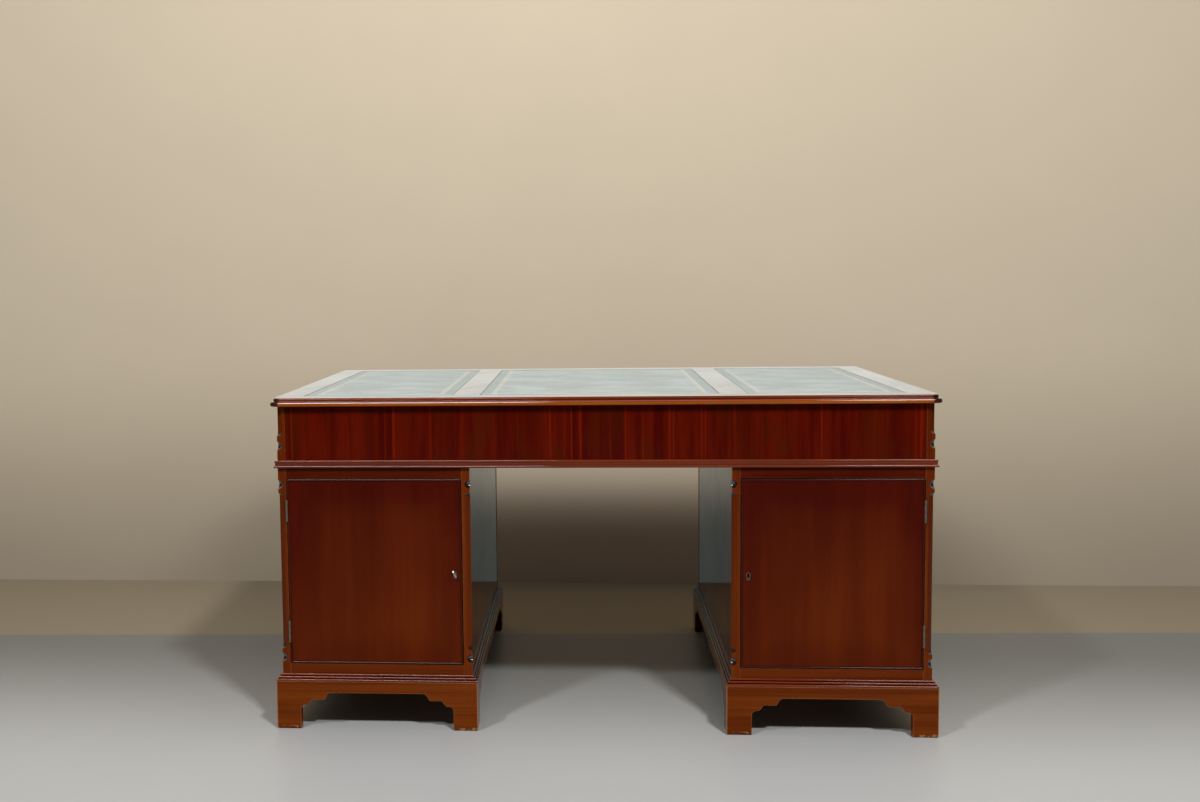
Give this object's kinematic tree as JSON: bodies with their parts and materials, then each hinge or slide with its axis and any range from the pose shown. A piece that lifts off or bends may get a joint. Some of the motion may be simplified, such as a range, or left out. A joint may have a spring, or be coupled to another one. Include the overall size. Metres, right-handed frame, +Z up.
{
  "type": "partners desk",
  "caption": "Two-pedestal partners desk: inlaid leather top on a frieze with drawers, cupboards with doors facing one side and drawers facing the other, on bracket-foot plinths.",
  "frame": {"origin": "on the floor, under the middle of the desk", "axes": "+X along the desk to the right as seen from the cupboard side, -Y towards the cupboard side, +Z up"},
  "size_m": [1.524, 0.914, 0.78],
  "materials": {
    "mahogany": "polished red-brown mahogany",
    "mahogany_veneer": "polished figured mahogany veneer",
    "drawer_wood": "plain waxed drawer wood",
    "leather": "pale green-grey antiqued leather with gold tooling",
    "brass": "aged polished brass",
    "steel": "plain steel"
  },
  "bodies": {
    "carcass": {"top_board": "mahogany", "centre_leather": "leather", "side_leathers": "leather", "frieze_posts": "mahogany", "frieze_panel": "mahogany_veneer", "frieze_end_panels": "mahogany_veneer", "frieze_underboard": "drawer_wood", "waist_moulding": "mahogany", "left_pedestal_posts": "mahogany", "left_side_panels": "mahogany_veneer", "left_carcass_boards": "mahogany", "left_plinth": "mahogany", "left_plinth_moulding": "mahogany", "right_pedestal_posts": "mahogany", "right_side_panels": "mahogany_veneer", "right_carcass_boards": "mahogany", "right_plinth": "mahogany", "right_plinth_moulding": "mahogany", "drawer_rails": "mahogany", "drawer_runners": "drawer_wood", "cupboard_shelves": "drawer_wood", "hinge_frame_leaves": "brass", "hinge_pins": "brass"},
    "left_door_body": {"left_door": "mahogany_veneer", "left_door_leaves": "brass", "left_door_lock": "brass"},
    "left_bolt_body": {"left_lock_bolt": "steel"},
    "right_door_body": {"right_door": "mahogany_veneer", "right_door_leaves": "brass", "right_door_lock": "brass"},
    "right_bolt_body": {"right_lock_bolt": "steel"},
    "key_body": {"left_door_key": "steel"},
    "left_frieze_drawer_body": {"left_frieze_drawer": "drawer_wood", "left_frieze_drawer_fittings": "brass"},
    "left_frieze_drawer_bail_body": {"left_frieze_drawer_bail": "brass"},
    "centre_frieze_drawer_body": {"centre_frieze_drawer": "drawer_wood", "centre_frieze_drawer_fittings": "brass"},
    "centre_frieze_drawer_left_bail_body": {"centre_frieze_drawer_left_bail": "brass"},
    "centre_frieze_drawer_right_bail_body": {"centre_frieze_drawer_right_bail": "brass"},
    "right_frieze_drawer_body": {"right_frieze_drawer": "drawer_wood", "right_frieze_drawer_fittings": "brass"},
    "right_frieze_drawer_bail_body": {"right_frieze_drawer_bail": "brass"},
    "left_top_drawer_body": {"left_top_drawer": "drawer_wood", "left_top_drawer_fittings": "brass"},
    "left_top_drawer_bail_body": {"left_top_drawer_bail": "brass"},
    "left_middle_drawer_body": {"left_middle_drawer": "drawer_wood", "left_middle_drawer_fittings": "brass"},
    "left_middle_drawer_bail_body": {"left_middle_drawer_bail": "brass"},
    "left_bottom_drawer_body": {"left_bottom_drawer": "drawer_wood", "left_bottom_drawer_fittings": "brass"},
    "left_bottom_drawer_bail_body": {"left_bottom_drawer_bail": "brass"},
    "right_top_drawer_body": {"right_top_drawer": "drawer_wood", "right_top_drawer_fittings": "brass"},
    "right_top_drawer_bail_body": {"right_top_drawer_bail": "brass"},
    "right_middle_drawer_body": {"right_middle_drawer": "drawer_wood", "right_middle_drawer_fittings": "brass"},
    "right_middle_drawer_bail_body": {"right_middle_drawer_bail": "brass"},
    "right_bottom_drawer_body": {"right_bottom_drawer": "drawer_wood", "right_bottom_drawer_fittings": "brass"},
    "right_bottom_drawer_bail_body": {"right_bottom_drawer_bail": "brass"}
  },
  "joints": [
    {"name": "left_door_hinge", "type": "hinge", "parent": "carcass", "child": "left_door_body", "pos_m": [-0.72675, -0.4444, 0.373], "axis": [0, 0, -1], "range_deg": [0, 110]},
    {"name": "left_bolt_slide", "type": "slide", "parent": "left_door_body", "child": "left_bolt_body", "axis": [1, 0, 0], "range_m": [0, 0.006]},
    {"name": "right_door_hinge", "type": "hinge", "parent": "carcass", "child": "right_door_body", "pos_m": [0.72675, -0.4444, 0.373], "axis": [0, 0, 1], "range_deg": [0, 110]},
    {"name": "right_bolt_slide", "type": "slide", "parent": "right_door_body", "child": "right_bolt_body", "axis": [-1, 0, 0], "range_m": [0, 0.006]},
    {"name": "left_key_turn", "type": "hinge", "parent": "left_door_body", "child": "key_body", "pos_m": [-0.3355, -0.4505, 0.37], "axis": [0, -1, 0], "range_deg": [0, 90]},
    {"name": "left_frieze_drawer_slide", "type": "slide", "parent": "carcass", "child": "left_frieze_drawer_body", "axis": [0, 1, 0], "range_m": [0, 0.38]},
    {"name": "left_frieze_drawer_bail_swing", "type": "hinge", "parent": "left_frieze_drawer_body", "child": "left_frieze_drawer_bail_body", "pos_m": [-0.5225, 0.4505, 0.702], "axis": [1, 0, 0], "range_deg": [0, 100]},
    {"name": "centre_frieze_drawer_slide", "type": "slide", "parent": "carcass", "child": "centre_frieze_drawer_body", "axis": [0, 1, 0], "range_m": [0, 0.38]},
    {"name": "centre_frieze_drawer_left_bail_swing", "type": "hinge", "parent": "centre_frieze_drawer_body", "child": "centre_frieze_drawer_left_bail_body", "pos_m": [-0.16, 0.4505, 0.702], "axis": [1, 0, 0], "range_deg": [0, 100]},
    {"name": "centre_frieze_drawer_right_bail_swing", "type": "hinge", "parent": "centre_frieze_drawer_body", "child": "centre_frieze_drawer_right_bail_body", "pos_m": [0.16, 0.4505, 0.702], "axis": [1, 0, 0], "range_deg": [0, 100]},
    {"name": "right_frieze_drawer_slide", "type": "slide", "parent": "carcass", "child": "right_frieze_drawer_body", "axis": [0, 1, 0], "range_m": [0, 0.38]},
    {"name": "right_frieze_drawer_bail_swing", "type": "hinge", "parent": "right_frieze_drawer_body", "child": "right_frieze_drawer_bail_body", "pos_m": [0.5225, 0.4505, 0.702], "axis": [1, 0, 0], "range_deg": [0, 100]},
    {"name": "left_top_drawer_slide", "type": "slide", "parent": "carcass", "child": "left_top_drawer_body", "axis": [0, 1, 0], "range_m": [0, 0.32]},
    {"name": "left_top_drawer_bail_swing", "type": "hinge", "parent": "left_top_drawer_body", "child": "left_top_drawer_bail_body", "pos_m": [-0.5225, 0.4505, 0.544], "axis": [1, 0, 0], "range_deg": [0, 100]},
    {"name": "left_middle_drawer_slide", "type": "slide", "parent": "carcass", "child": "left_middle_drawer_body", "axis": [0, 1, 0], "range_m": [0, 0.32]},
    {"name": "left_middle_drawer_bail_swing", "type": "hinge", "parent": "left_middle_drawer_body", "child": "left_middle_drawer_bail_body", "pos_m": [-0.5225, 0.4505, 0.4005], "axis": [1, 0, 0], "range_deg": [0, 100]},
    {"name": "left_bottom_drawer_slide", "type": "slide", "parent": "carcass", "child": "left_bottom_drawer_body", "axis": [0, 1, 0], "range_m": [0, 0.32]},
    {"name": "left_bottom_drawer_bail_swing", "type": "hinge", "parent": "left_bottom_drawer_body", "child": "left_bottom_drawer_bail_body", "pos_m": [-0.5225, 0.4505, 0.241], "axis": [1, 0, 0], "range_deg": [0, 100]},
    {"name": "right_top_drawer_slide", "type": "slide", "parent": "carcass", "child": "right_top_drawer_body", "axis": [0, 1, 0], "range_m": [0, 0.32]},
    {"name": "right_top_drawer_bail_swing", "type": "hinge", "parent": "right_top_drawer_body", "child": "right_top_drawer_bail_body", "pos_m": [0.5225, 0.4505, 0.544], "axis": [1, 0, 0], "range_deg": [0, 100]},
    {"name": "right_middle_drawer_slide", "type": "slide", "parent": "carcass", "child": "right_middle_drawer_body", "axis": [0, 1, 0], "range_m": [0, 0.32]},
    {"name": "right_middle_drawer_bail_swing", "type": "hinge", "parent": "right_middle_drawer_body", "child": "right_middle_drawer_bail_body", "pos_m": [0.5225, 0.4505, 0.4005], "axis": [1, 0, 0], "range_deg": [0, 100]},
    {"name": "right_bottom_drawer_slide", "type": "slide", "parent": "carcass", "child": "right_bottom_drawer_body", "axis": [0, 1, 0], "range_m": [0, 0.32]},
    {"name": "right_bottom_drawer_bail_swing", "type": "hinge", "parent": "right_bottom_drawer_body", "child": "right_bottom_drawer_bail_body", "pos_m": [0.5225, 0.4505, 0.241], "axis": [1, 0, 0], "range_deg": [0, 100]}
  ],
  "couplings": [
    {"joint": "left_key_turn", "follows": "left_bolt_slide", "rad_per_m": 261.8}
  ]
}
